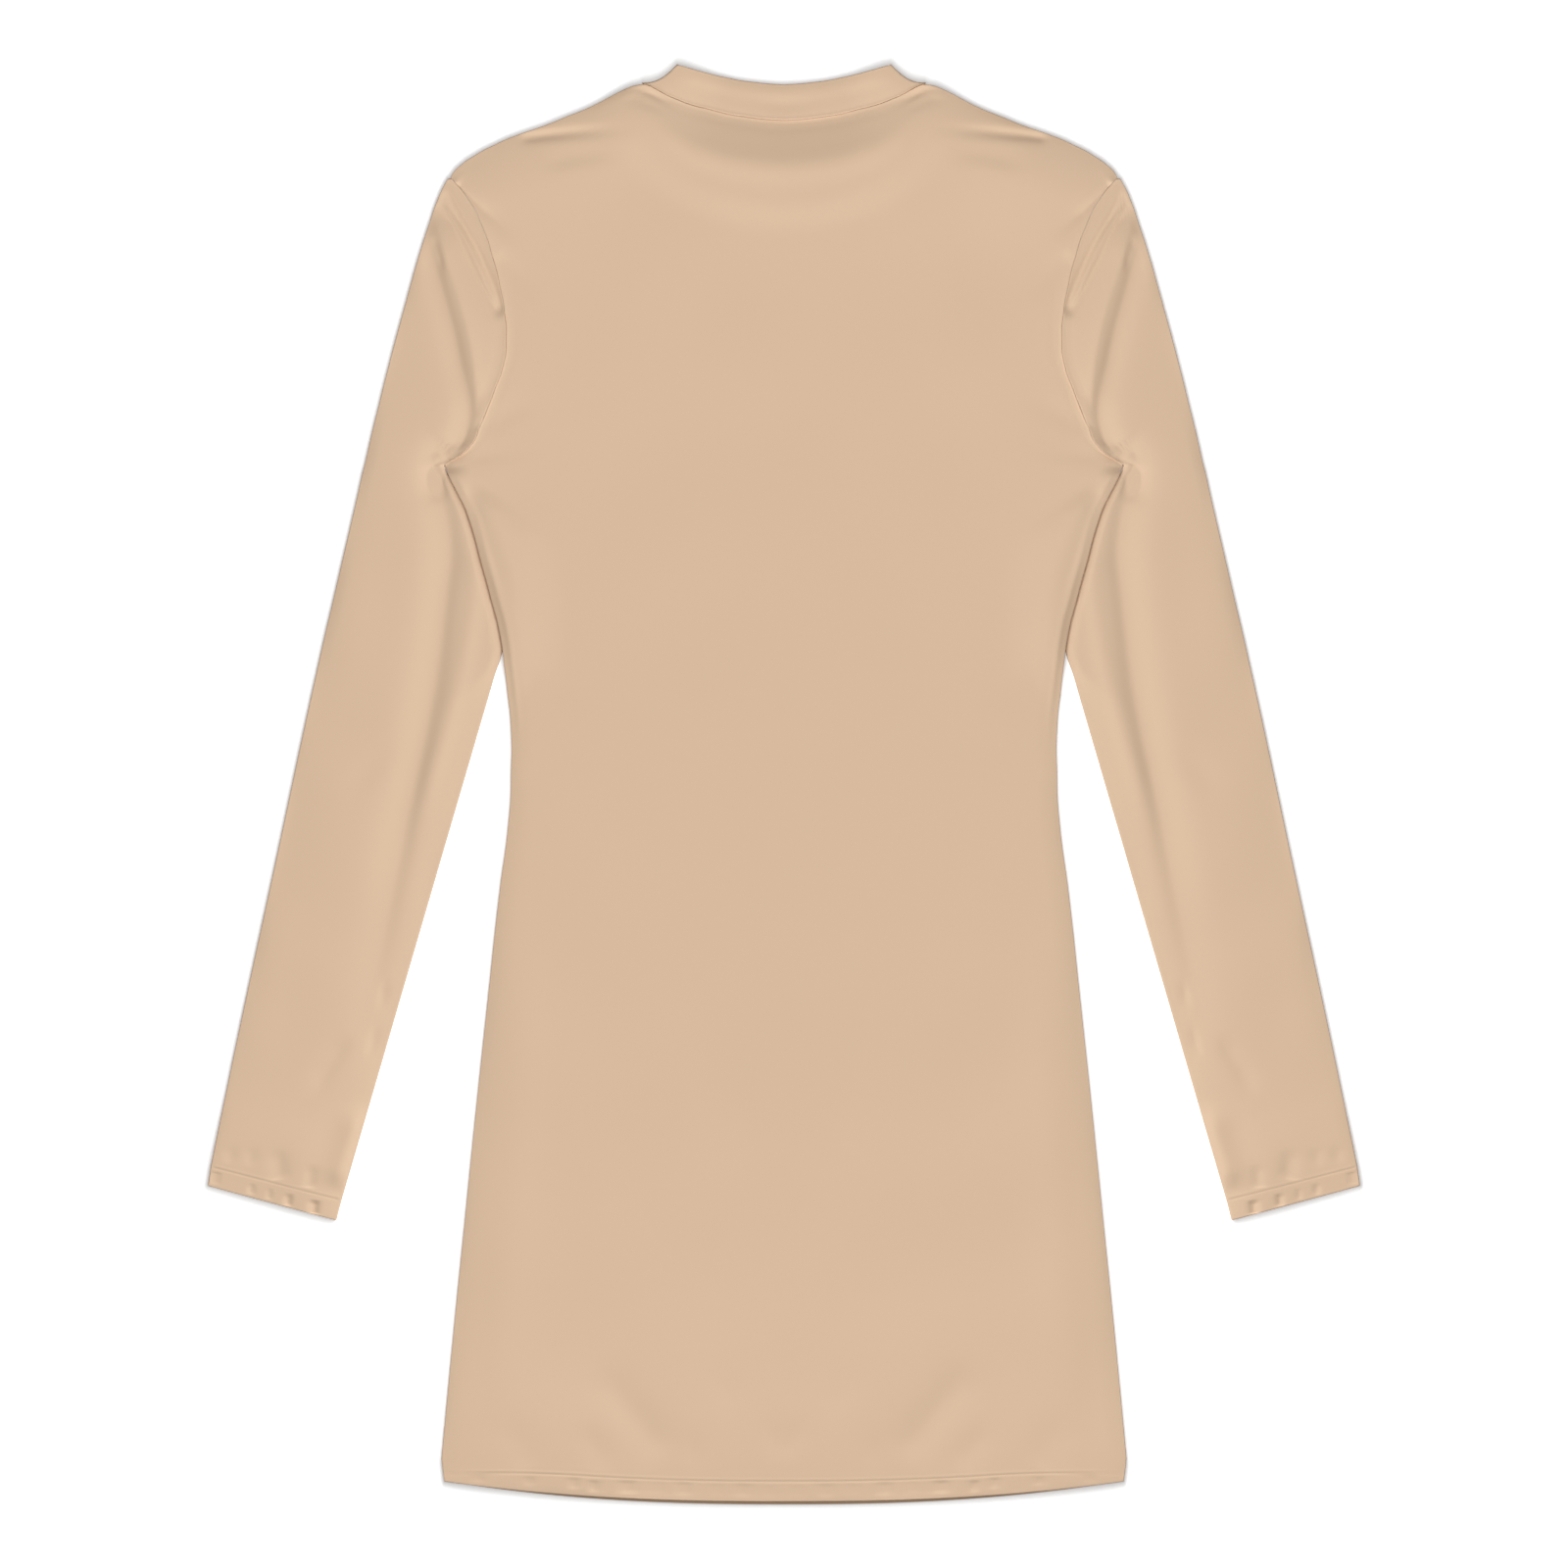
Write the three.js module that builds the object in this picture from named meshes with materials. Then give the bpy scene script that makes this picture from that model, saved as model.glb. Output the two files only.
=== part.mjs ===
// A fitted jersey dress with long sleeves and a low stand collar, laid flat with its back up.
// Millimetres. +X runs across the dress, +Y towards the neck and +Z up. The origin is on the
// surface that the dress lies on, under the middle of its outline.
// The dress is the same on both sides, so the tables below give its right half, with x from the middle.

import * as THREE from "three";

const { clamp, lerp, smoothstep } = THREE.MathUtils;

// Driving dimensions
const CLOTH = 1; // one layer of jersey
const GAP = 0.3; // between sewn edges, and between layers that lie on each other
const HEM_DEPTH = 12.6; // cloth turned up inside at the skirt and the cuffs
const HEM_RAMP = 1.5; // half the width over which the turned hem ends
const LOFT = 1.5; // air kept between the upper and the lower layers, away from the edges
const EDGE_ROUND = 15; // the upper layer comes down to the lower one over this width
const COLLAR_THICKNESS = 2 * CLOTH;
const NECK_BONUS = 20; // how far in from an edge the middle of the neck seam counts as lying
const ARM_BONUS = 0.8; // the same for the armhole seam, for each millimetre above the underarm
const NECK_OVAL = { halfX: 91.3, halfY: 70, fade: 1.3 }; // where the front collar lifts the back panel

// Heights of the body's outline
const UNDERARM_Y = 191.8;
const SHOULDER_TIP_Y = 364.9;
const BACK_HEM_Y = -431.6; // at the middle
const FRONT_HEM_DROP = 2; // the front hem shows this far below the back hem
const HEM_CORNER_Y = -419.5;
const HEM_BOW = 2.4; // the hem is this power's curve between its middle and its corners

// Half the body's width, from the hem corner up the side seam to the underarm
const SIDE = [
  { y: -419.5, half: 204.4 },
  { y: -408, half: 205.8 },
  { y: -404, half: 205.9 },
  { y: -260, half: 191.8 },
  { y: -118, half: 177 },
  { y: -60, half: 170.6 },
  { y: -24, half: 165.9 },
  { y: 8, half: 164.3 },
  { y: 34, half: 164.4 },
  { y: 54, half: 166.4 },
  { y: 72, half: 168.4 },
  { y: 90, half: 170.8 },
  { y: 109, half: 175.5 },
  { y: 134, half: 182.3 },
  { y: 161, half: 190 },
  { y: 173, half: 195.4 },
  { y: 184, half: 201 },
  { y: 191.8, half: 204.1 },
];

// The armhole seam and the sleeve's outer edge, from the underarm up to the shoulder tip
const ARMHOLE = [
  { y: 191.8, half: 204.1, outer: 252.4 },
  { y: 201, half: 190.3, outer: 250.3 },
  { y: 214, half: 183.2, outer: 247.3 },
  { y: 226, half: 178, outer: 244.3 },
  { y: 238, half: 173.4, outer: 241.4 },
  { y: 251, half: 168.8, outer: 238.1 },
  { y: 266, half: 167, outer: 234.2 },
  { y: 282, half: 167.8, outer: 229.8 },
  { y: 299, half: 170.7, outer: 225.1 },
  { y: 317, half: 175.2, outer: 220 },
  { y: 337, half: 182.1, outer: 213.6 },
  { y: 352, half: 190, outer: 208.4 },
  { y: 362, half: 198, outer: 203.6 },
];
const TIP_HALF = 200.6; // half the width between the shoulder tips

// Sleeve sections below the underarm, each from the inner to the outer fold
const SLEEVE = [
  { innerX: 204.4, innerY: 191.3, outerX: 252.5, outerY: 191.3 },
  { innerX: 203.2, innerY: 186, outerX: 253.9, outerY: 186.2 },
  { innerX: 193.5, innerY: 175, outerX: 256.2, outerY: 175.7 },
  { innerX: 180, innerY: 159, outerX: 259.7, outerY: 160.5 },
  { innerX: 173.5, innerY: 141, outerX: 263.7, outerY: 143.3 },
  { innerX: 170, innerY: 124, outerX: 267.5, outerY: 127.1 },
  { innerX: 167.8, innerY: 105, outerX: 271.7, outerY: 108.9 },
  { innerX: 168.2, innerY: 86, outerX: 276, outerY: 90.8 },
  { innerX: 174.2, innerY: 65, outerX: 280.5, outerY: 70.8 },
  { innerX: 187.3, innerY: 20, outerX: 290, outerY: 27.8 },
  { innerX: 204.8, innerY: -40, outerX: 302.2, outerY: -29.5 },
  { innerX: 222.3, innerY: -100, outerX: 314.6, outerY: -86.7 },
  { innerX: 239.8, innerY: -160, outerX: 327, outerY: -144 },
  { innerX: 254.4, innerY: -210, outerX: 337, outerY: -191.7 },
  { innerX: 265.2, innerY: -247, outerX: 344.3, outerY: -227 },
  { innerX: 266.5, innerY: -251.5, outerX: 345.1, outerY: -231.2 },
  { innerX: 269.3, innerY: -262.4, outerX: 346.6, outerY: -241.7 },
];

// Each half of the collar, from the shoulder end of the neck to its middle: its seam, and its free edge
const BACK_NECK = [
  { x: 85.3, y: 421.3, edgeX: 63.6, edgeY: 431.9 },
  { x: 80, y: 419.4, edgeX: 59.8, edgeY: 431 },
  { x: 66, y: 412.3, edgeX: 50, edgeY: 428.7 },
  { x: 45, y: 406, edgeX: 34, edgeY: 425 },
  { x: 22, y: 401.3, edgeX: 16.8, edgeY: 422.2 },
  { x: 0, y: 399.3, edgeX: 0, edgeY: 420.8 },
];
const FRONT_NECK = [
  { x: 85.3, y: 421.3, edgeX: 63.6, edgeY: 431.9 },
  { x: 80, y: 404, edgeX: 60.8, edgeY: 413.6 },
  { x: 66, y: 383, edgeX: 50.6, edgeY: 398 },
  { x: 45, y: 368, edgeX: 35.2, edgeY: 387.1 },
  { x: 22, y: 360.5, edgeX: 17.3, edgeY: 381.5 },
  { x: 0, y: 358, edgeX: 0, edgeY: 379.5 },
];
const NECK_POINT = BACK_NECK[0];

// The shoulder edge, where both panels end
const SHOULDER = [
  { x: 85.3, y: 421 },
  { x: 94, y: 418.7 },
  { x: 114.5, y: 408.3 },
  { x: 145, y: 395.8 },
  { x: 174.6, y: 384.3 },
  { x: 187.6, y: 377.2 },
  { x: 195.6, y: 371.3 },
  { x: 199.1, y: 367.6 },
  { x: 200.6, y: 364.9 },
];

// Where the columns of each panel meet the shoulder edge, and how much more the outer ones follow the
// side than the inner ones do
const BACK_COLUMNS = [114.5, 145, 172, 187.6, 195.6, 199.1, TIP_HALF];
const FRONT_COLUMNS = [130, 165, 183, 193, TIP_HALF];
const FOLLOW_SIDE = 2;
const FOLLOW_TOP = 4; // the rows follow the neck and shoulder edge by this power of their height

// Largest folds of a sleeve's upper layer: a ridge (or a trough, where the height is negative) along
// a straight line, with a soft cross-section. It starts and ends past its line by one share of the
// line's length, and fades over another.
const SLEEVE_FOLDS = [
  { name: "cap fold", fromX: 209, fromY: 336, toX: 186, toY: 236, width: 7, height: 1.6 },
  { name: "trough beside it", fromX: 222, fromY: 322, toX: 200, toY: 240, width: 8, height: -1 },
  { name: "upper arm trough", fromX: 192, fromY: 148, toX: 216, toY: 0, width: 12, height: -0.7 },
  { name: "forearm trough", fromX: 216, fromY: 0, toX: 262, toY: -160, width: 13, height: -0.7 },
];
const FOLD_PAST = 0.1;
const FOLD_FADE = 0.4;

// Shares of a sleeve section's width, from the inner to the outer fold below and back above, and the
// turns of a fold's bend
const UNDER_SHARES = [0, 0.3, 0.7, 1];
const OVER_SHARES = [1, 0.93, 0.8, 0.64, 0.48, 0.34, 0.2, 0.08, 0];
const FOLD_ANGLES = [45, 0, -45];
const FOLD_AIR = 0.4; // left between the two layers inside a fold
const COVER = 4; // a sleeve stays flat until this far past the body's edge
const SHARES_UP = [0, 0.5, 1]; // of the collar's height

// The body's sides lie on the sleeves between these heights
const RIDE = { top: 191.8, full: 184.6, low: 78, bottom: 58, margin: 6, spread: 14, height: 2.85 };

const jersey = new THREE.MeshStandardMaterial({ color: 0xd9bb9e, roughness: 0.9, metalness: 0 });
const rib = new THREE.MeshStandardMaterial({ color: 0xd6b89b, roughness: 0.9, metalness: 0 });

// The wanted column of a table where its known column is `at`, on a smooth curve through the rows
function read(rows, known, wanted, at) {
  const way = Math.sign(rows[1][known] - rows[0][known]);
  let i = 0;
  while (i < rows.length - 2 && way * (at - rows[i + 1][known]) > 0) {
    i += 1;
  }
  const slope = (k) => {
    const before = rows[Math.max(k - 1, 0)];
    const after = rows[Math.min(k + 1, rows.length - 1)];
    return (after[wanted] - before[wanted]) / (after[known] - before[known]);
  };
  const span = rows[i + 1][known] - rows[i][known];
  const t = clamp((at - rows[i][known]) / span, 0, 1);
  const start = rows[i][wanted] + slope(i) * span * t;
  const end = rows[i + 1][wanted] - slope(i + 1) * span * (1 - t);
  return lerp(start, end, t * t * (3 - 2 * t));
}

function halfWidth(y) {
  if (y > ARMHOLE.at(-1).y) {
    return lerp(ARMHOLE.at(-1).half, TIP_HALF, (y - ARMHOLE.at(-1).y) / (SHOULDER_TIP_Y - ARMHOLE.at(-1).y));
  }
  return read(y < UNDERARM_Y ? SIDE : ARMHOLE, "y", "half", y);
}

// 0 at an edge and 1 from EDGE_ROUND inwards, as a quarter circle
function roundOff(distance) {
  const left = clamp(1 - distance / EDGE_ROUND, 0, 1);
  return Math.sqrt(1 - left * left);
}

function hemY(x, drop) {
  const out = Math.abs(x) / SIDE[0].half;
  return lerp(BACK_HEM_Y - drop, HEM_CORNER_Y, out ** HEM_BOW);
}

// The extra layer of a turned hem, at a distance from the finished edge
function hemLayer(distance) {
  return CLOTH * (1 - smoothstep(distance, HEM_DEPTH - HEM_RAMP, HEM_DEPTH + HEM_RAMP));
}

// How high the sleeve below lifts the body's side
function rideHeight(x, y) {
  const along = smoothstep(-y, -RIDE.top, -RIDE.full) * smoothstep(y, RIDE.bottom, RIDE.low);
  const half = halfWidth(y);
  const covered = Math.max(half - read(SLEEVE, "innerY", "innerX", y), 0) + RIDE.margin;
  const inside = half - Math.abs(x);
  return RIDE.height * along * (1 - smoothstep(inside, covered, covered + RIDE.spread));
}

// The front collar lifts the back panel in an oval round the neck, fading out beyond it
function neckLift(x, y) {
  const out = Math.hypot(x / NECK_OVAL.halfX, (y - NECK_POINT.y) / NECK_OVAL.halfY);
  return (COLLAR_THICKNESS - CLOTH) * (1 - smoothstep(out, 1, NECK_OVAL.fade));
}

// Air below the back panel
function bodyLoft(x, y) {
  const out = Math.abs(x);
  const fromSide = halfWidth(Math.min(y, SHOULDER_TIP_Y)) - out + Math.max(y - UNDERARM_Y, 0) * ARM_BONUS;
  const top = out < NECK_POINT.x ? NECK_POINT.y : read(SHOULDER, "x", "y", out);
  const fromTop = top - y + NECK_BONUS * smoothstep(NECK_POINT.x - out, 0, NECK_BONUS);
  return LOFT * roundOff(fromSide) * roundOff(fromTop);
}

// How far the folds raise a sleeve's upper layer, as a multiple of its loft
function foldHeight(x, y) {
  let sum = 0;
  for (const fold of SLEEVE_FOLDS) {
    const run = new THREE.Vector2(fold.toX - fold.fromX, fold.toY - fold.fromY);
    const from = new THREE.Vector2(x - fold.fromX, y - fold.fromY);
    const along = from.dot(run) / run.lengthSq();
    const across = Math.abs(from.cross(run)) / run.length();
    const fromEnd = Math.min(along, 1 - along) + FOLD_PAST;
    sum += fold.height * smoothstep(fromEnd, 0, FOLD_FADE) * Math.exp(-((across / fold.width) ** 2));
  }
  return sum;
}

// A closed solid from two matching skins of quads: the outer skin, the inner one, and a rim that joins
// them along every free edge
function closedSolid(outer, inner, quads) {
  const uses = new Map();
  const corners = [];
  for (const [a, b, c, d] of quads) {
    corners.push(outer[a], outer[b], outer[c], outer[a], outer[c], outer[d]);
    corners.push(inner[a], inner[c], inner[b], inner[a], inner[d], inner[c]);
    for (const [from, to] of [[a, b], [b, c], [c, d], [d, a]]) {
      uses.set(`${from} ${to}`, [from, to]);
    }
  }
  for (const [from, to] of uses.values()) {
    if (!uses.has(`${to} ${from}`)) {
      corners.push(outer[to], outer[from], inner[from], outer[to], inner[from], inner[to]);
    }
  }
  return corners;
}

// A named mesh of a solid, with its faces turned outwards by the sign of its volume
function meshOf(name, corners, material) {
  let volume = 0;
  for (let i = 0; i < corners.length; i += 3) {
    const area = corners[i + 1].clone().cross(corners[i + 2]);
    volume += corners[i].dot(area) / 6;
  }
  const ordered = [];
  for (let i = 0; i < corners.length; i += 3) {
    const [a, b, c] = corners.slice(i, i + 3);
    ordered.push(...(volume > 0 ? [a, b, c] : [a, c, b]));
  }
  const geometry = new THREE.BufferGeometry().setFromPoints(ordered);
  geometry.computeVertexNormals();
  const mesh = new THREE.Mesh(geometry, material);
  mesh.name = name;
  return mesh;
}

// A panel: rows up its height and columns across, between the hem and the neck and shoulder edge
function panel(name, { neck, columns, drop, floor, thickness }) {
  const rightHalf = [...neck.map((row) => row.x).reverse(), ...columns];
  const leftHalf = rightHalf.slice(1).reverse().map((top) => -top);
  const tops = [...leftHalf, ...rightHalf];
  const heights = [...SIDE, ...ARMHOLE.slice(1)].map((row) => row.y).concat(SHOULDER_TIP_Y);
  const neckSeam = (x) => read(neck, "x", "y", clamp(x, 0, NECK_POINT.x));
  const topEdge = (x) => {
    const steepness = neckSeam(x + 0.5) - neckSeam(x - 0.5);
    return x <= NECK_POINT.x ? neckSeam(x) - GAP * Math.hypot(1, steepness) : read(SHOULDER, "x", "y", x);
  };
  const upper = [];
  const lower = [];
  for (const height of heights) {
    const up = (height - HEM_CORNER_Y) / (SHOULDER_TIP_Y - HEM_CORNER_Y);
    for (const top of tops) {
      const follow = Math.abs(top / TIP_HALF) ** FOLLOW_SIDE;
      const x = top * lerp(1, halfWidth(height) / TIP_HALF, follow);
      const hem = hemY((top * SIDE[0].half) / TIP_HALF, drop) - HEM_CORNER_Y;
      const shoulder = topEdge(Math.abs(top)) - SHOULDER_TIP_Y;
      const y = height + (1 - up) * hem + up ** FOLLOW_TOP * shoulder;
      const z = floor(x, y);
      lower.push(new THREE.Vector3(x, y, z));
      upper.push(new THREE.Vector3(x, y, z + thickness(x, y)));
    }
  }
  const quads = [];
  for (let i = 0; i < heights.length - 1; i += 1) {
    for (let j = 0; j < tops.length - 1; j += 1) {
      const here = i * tops.length + j;
      const above = here + tops.length;
      quads.push([here, here + 1, above + 1, above]);
    }
  }
  return meshOf(name, closedSolid(upper, lower, quads), jersey);
}

function frontPanel() {
  return panel("front_panel", {
    neck: FRONT_NECK,
    columns: FRONT_COLUMNS,
    drop: FRONT_HEM_DROP,
    floor: rideHeight,
    thickness: (x, y) => CLOTH + hemLayer(y - hemY(x, FRONT_HEM_DROP)),
  });
}

function backPanel() {
  const frontLayers = (x, y) => CLOTH + hemLayer(y - hemY(x, 0) - HEM_RAMP);
  return panel("back_panel", {
    neck: BACK_NECK,
    columns: BACK_COLUMNS,
    drop: 0,
    floor: (x, y) => rideHeight(x, y) + frontLayers(x, y) + neckLift(x, y) + GAP + bodyLoft(x, y),
    thickness: (x, y) => CLOTH + hemLayer(y - hemY(x, 0)),
  });
}

// The armhole seam's point in one row of its table, moved square to the seam by the gap
function besideArmhole(index) {
  const before = ARMHOLE[index - 1];
  const after = ARMHOLE[index + 1] ?? { half: TIP_HALF, y: SHOULDER_TIP_Y };
  const square = new THREE.Vector2(after.y - before.y, before.half - after.half).setLength(GAP);
  return new THREE.Vector2(ARMHOLE[index].half, ARMHOLE[index].y).add(square);
}

// A sleeve is a flattened tube. Its sections at the armhole stay open towards the body.
function sleeveSections() {
  const sections = [];
  for (let index = ARMHOLE.length - 1; index > 0; index -= 1) {
    const { outer, y } = ARMHOLE[index];
    sections.push({
      open: true,
      inner: besideArmhole(index),
      outer: new THREE.Vector2(outer, y),
      toHem: Infinity,
    });
  }
  const cuff = SLEEVE.at(-1);
  for (const { innerX, innerY, outerX, outerY } of SLEEVE) {
    sections.push({
      open: false,
      inner: new THREE.Vector2(innerX, innerY),
      outer: new THREE.Vector2(outerX, outerY),
      toHem: innerY - cuff.innerY,
    });
  }
  return sections;
}

// One section's points, outer skin and inner skin in pairs: along the surface it lies on, round the
// outer fold, back over the top, and round the inner fold
function sectionPairs({ open, inner, outer, toHem }) {
  const wall = CLOTH + hemLayer(toHem);
  const edge = 2 * wall + FOLD_AIR;
  const run = outer.clone().sub(inner).normalize();
  const from = inner.clone().addScaledVector(run, open ? 0 : edge / 2);
  const to = outer.clone().addScaledVector(run, -edge / 2);
  const at = (plan, z) => new THREE.Vector3(plan.x, plan.y, z);
  const under = UNDER_SHARES.map((share) => {
    const plan = from.clone().lerp(to, share);
    return [at(plan, 0), at(plan, wall)];
  });
  const over = OVER_SHARES.map((share) => {
    const plan = from.clone().lerp(to, share);
    const visible = open ? inner.x - EDGE_ROUND : Math.max(inner.x, halfWidth(plan.y)) + COVER;
    const loft = LOFT * roundOff(outer.x - plan.x - edge / 2) * roundOff(plan.x - visible);
    const height = edge + Math.max(loft * (1 + foldHeight(plan.x, plan.y)), 0);
    return [at(plan, height), at(plan, height - wall)];
  });
  const bend = (centre, outwards) => FOLD_ANGLES.map((degrees) => {
    const angle = THREE.MathUtils.degToRad(degrees);
    return [edge / 2, edge / 2 - wall].map((radius) => {
      const plan = centre.clone().addScaledVector(run, outwards * radius * Math.cos(angle));
      return at(plan, edge / 2 + radius * Math.sin(angle));
    });
  });
  return [...under, ...bend(to, 1), ...over, ...bend(from, -1).reverse()];
}

function sleeve(name, side) {
  const sections = sleeveSections();
  const pairs = sections.flatMap(sectionPairs);
  const [outerSkin, innerSkin] = [0, 1].map((skin) => {
    return pairs.map((pair) => pair[skin].clone().setX(side * pair[skin].x));
  });
  const around = pairs.length / sections.length;
  const acrossOpen = around - FOLD_ANGLES.length - 1;
  const quads = [];
  for (let i = 0; i < sections.length - 1; i += 1) {
    const above = i * around;
    const below = above + around;
    const count = sections[i].open ? acrossOpen : around;
    for (let j = 0; j < count; j += 1) {
      const next = (j + 1) % around;
      quads.push([below + j, below + next, above + next, above + j]);
    }
  }
  return meshOf(name, closedSolid(outerSkin, innerSkin, quads), jersey);
}

// The collar is one strip, folded double and joined to a ring: its back half lies on its front half,
// and it bends round where the shoulders end
function collar() {
  const radius = (COLLAR_THICKNESS + GAP) / 2;
  const middle = COLLAR_THICKNESS + GAP / 2;
  const shoulderLine = new THREE.Vector2(NECK_POINT.x - NECK_POINT.edgeX, NECK_POINT.y - NECK_POINT.edgeY);
  const sideways = new THREE.Vector2(-shoulderLine.y, shoulderLine.x).normalize();
  const outerSkin = [];
  const innerSkin = [];
  const addStation = (side, row, lean, z) => {
    for (const [skin, face] of [[outerSkin, 1], [innerSkin, -1]]) {
      const out = (radius + (face * COLLAR_THICKNESS) / 2) * Math.cos(lean);
      for (const share of SHARES_UP) {
        const x = lerp(row.x, row.edgeX, share) + out * sideways.x;
        const y = lerp(row.y, row.edgeY, share) + out * sideways.y;
        skin.push(new THREE.Vector3(side * x, y, z + (face * COLLAR_THICKNESS * Math.sin(lean)) / 2));
      }
    }
  };
  const addHalf = (neck, side, lean) => {
    const z = middle + radius * Math.sin(lean);
    neck.forEach((row) => addStation(side, row, lean, z));
    neck.slice(0, -1).reverse().forEach((row) => addStation(-side, row, lean, z));
  };
  const addBend = (side, angles) => {
    for (const degrees of angles) {
      const lean = THREE.MathUtils.degToRad(degrees);
      addStation(side, NECK_POINT, lean, middle + radius * Math.sin(lean));
    }
  };
  addHalf(BACK_NECK, 1, Math.PI / 2);
  addBend(-1, FOLD_ANGLES);
  addHalf(FRONT_NECK, -1, -Math.PI / 2);
  addBend(1, FOLD_ANGLES.slice().reverse());

  const around = outerSkin.length / SHARES_UP.length;
  const quads = [];
  for (let i = 0; i < around; i += 1) {
    const here = i * SHARES_UP.length;
    const next = ((i + 1) % around) * SHARES_UP.length;
    for (let j = 0; j < SHARES_UP.length - 1; j += 1) {
      quads.push([here + j, here + j + 1, next + j + 1, next + j]);
    }
  }
  return meshOf("collar", closedSolid(outerSkin, innerSkin, quads), rib);
}

const dress = new THREE.Group();
dress.add(backPanel(), frontPanel(), sleeve("sleeve_right", 1), sleeve("sleeve_left", -1), collar());

export default dress;
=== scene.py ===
import math

import bpy
import numpy as np
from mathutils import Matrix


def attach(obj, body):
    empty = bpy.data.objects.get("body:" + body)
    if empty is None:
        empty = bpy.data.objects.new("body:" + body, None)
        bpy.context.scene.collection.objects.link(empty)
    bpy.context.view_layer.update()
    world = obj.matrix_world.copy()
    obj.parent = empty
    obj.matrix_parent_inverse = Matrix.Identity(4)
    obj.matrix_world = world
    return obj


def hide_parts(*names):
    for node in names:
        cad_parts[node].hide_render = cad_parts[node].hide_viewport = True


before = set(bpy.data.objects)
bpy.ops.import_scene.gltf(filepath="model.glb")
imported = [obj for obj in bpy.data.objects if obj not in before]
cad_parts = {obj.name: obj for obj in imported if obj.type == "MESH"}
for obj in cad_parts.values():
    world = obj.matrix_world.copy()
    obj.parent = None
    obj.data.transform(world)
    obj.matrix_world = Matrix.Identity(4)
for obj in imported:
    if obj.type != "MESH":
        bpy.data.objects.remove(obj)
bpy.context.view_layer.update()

bl_info = {
    "name": "Jersey dress laid flat",
    "version": (1, 0, 0),
    "blender": (4, 5, 0),
    "location": "3D View > Sidebar > Dress",
    "description": "Makes a fitted long-sleeved jersey dress that lies flat with its back up",
    "category": "Object",
}

# Lengths in this file are millimetres, and MM turns them into the frame's metres. +X runs across the
# dress, +Y towards the neck and +Z up. The dress is the same on both sides, so tables and creases give
# its right half, with x from the middle.
MM = 0.001


def table(columns, *rows):
    """A table of named columns."""
    return {name: np.array(column, float) for name, column in zip(columns.split(), zip(*rows))}


# Places on the outline
UNDERARM_Y = 191.8
TIP_Y = 364.9
TIP_HALF = 200.6
BACK_HEM_Y = -431.6
HEM_CORNER_X, HEM_CORNER_Y = 204.4, -419.5
FRONT_HEM_DROP = 2.0
HEM_BOW = 2.4
NECK_POINT_X, NECK_POINT_Y = 85.3, 421.3

# Half the body's width, from the hem corner up the side seam to the underarm
SIDE = table(
    "y half",
    (-419.5, 204.4), (-408, 205.8), (-404, 205.9), (-260, 191.8), (-118, 177), (-60, 170.6),
    (-24, 165.9), (8, 164.3), (34, 164.4), (54, 166.4), (72, 168.4), (90, 170.8), (109, 175.5),
    (134, 182.3), (161, 190), (173, 195.4), (184, 201), (191.8, 204.1),
)

# The armhole seam and the sleeve's outer edge, from the underarm up to the shoulder tip
ARMHOLE = table(
    "y half outer",
    (191.8, 204.1, 252.4), (201, 190.3, 250.3), (214, 183.2, 247.3), (226, 178, 244.3),
    (238, 173.4, 241.4), (251, 168.8, 238.1), (266, 167, 234.2), (282, 167.8, 229.8),
    (299, 170.7, 225.1), (317, 175.2, 220), (337, 182.1, 213.6), (352, 190, 208.4),
    (362, 198, 203.6), (364.9, 200.6, 201.8),
)

# Sleeve sections below the underarm, each from the inner to the outer fold
SLEEVE = table(
    "y inner outer_x outer_y",
    (-262.4, 269.3, 346.6, -241.7), (-251.5, 266.5, 345.1, -231.2), (-247, 265.2, 344.3, -227),
    (-210, 254.4, 337, -191.7), (-160, 239.8, 327, -144), (-100, 222.3, 314.6, -86.7),
    (-40, 204.8, 302.2, -29.5), (20, 187.3, 290, 27.8), (65, 174.2, 280.5, 70.8),
    (86, 168.2, 276, 90.8), (105, 167.8, 271.7, 108.9), (124, 170, 267.5, 127.1),
    (141, 173.5, 263.7, 143.3), (159, 180, 259.7, 160.5), (175, 193.5, 256.2, 175.7),
    (186, 202, 253.9, 186.2), (191.8, 204.2, 252.4, 191.8),
)

# The collar's seams and free edges, from the middle of the neck to its shoulder end
NECK = table(
    "x back_y back_edge_x back_edge_y front_y front_edge_x front_edge_y",
    (0, 399.3, 0, 420.8, 358, 0, 379.5), (22, 401.3, 16.8, 422.2, 360.5, 17.3, 381.5),
    (45, 406, 34, 425, 368, 35.2, 387.1), (66, 412.3, 50, 428.7, 383, 50.6, 398),
    (80, 419.4, 59.8, 431.4, 404, 60.8, 413.6), (85.3, 421.3, 63.6, 432.3, 421.3, 63.6, 432.3),
)

SHOULDER = table(
    "x y",
    (85.3, 421), (94, 418.7), (114.5, 408.3), (131.6, 401.2), (145, 395.8), (160, 390.6),
    (174.6, 384.3), (187.6, 377.2), (195.6, 371.3), (199.1, 367.6), (200.6, 364.9),
)

# The body's sides lie on the sleeves between these heights
RIDE = {"top": 191.8, "full": 184.6, "low": 78, "bottom": 58, "margin": 3, "spread": 34, "height": 2.7}

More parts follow.
